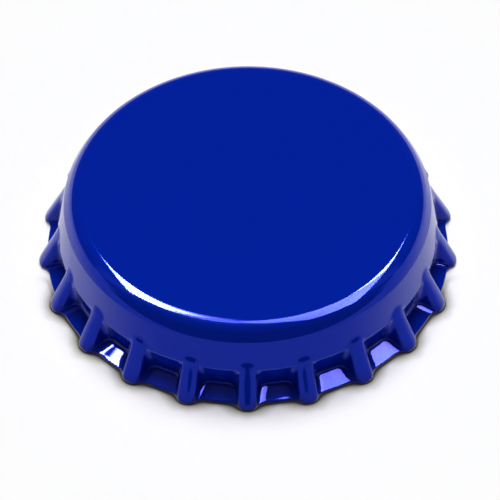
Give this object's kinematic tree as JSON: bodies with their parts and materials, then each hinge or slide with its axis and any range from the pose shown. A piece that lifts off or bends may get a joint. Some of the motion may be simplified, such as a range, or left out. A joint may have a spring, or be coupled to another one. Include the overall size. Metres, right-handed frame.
{
  "type": "bottle cap",
  "caption": "Round pressed metal cap with a flat panel and a flared, fluted skirt, lined inside to seal the mouth of a glass bottle.",
  "frame": {"origin": "centre of the cap in the plane that the open rim rests on", "axes": "+Z along the axis of the cap, out of the panel; one rib of the skirt faces -Y"},
  "size_m": [0.032, 0.0319, 0.0067],
  "materials": {
    "lacquer": "gloss",
    "compound": "satin"
  },
  "bodies": {
    "root": {"shell": "lacquer", "liner": "compound"}
  },
  "joints": []
}
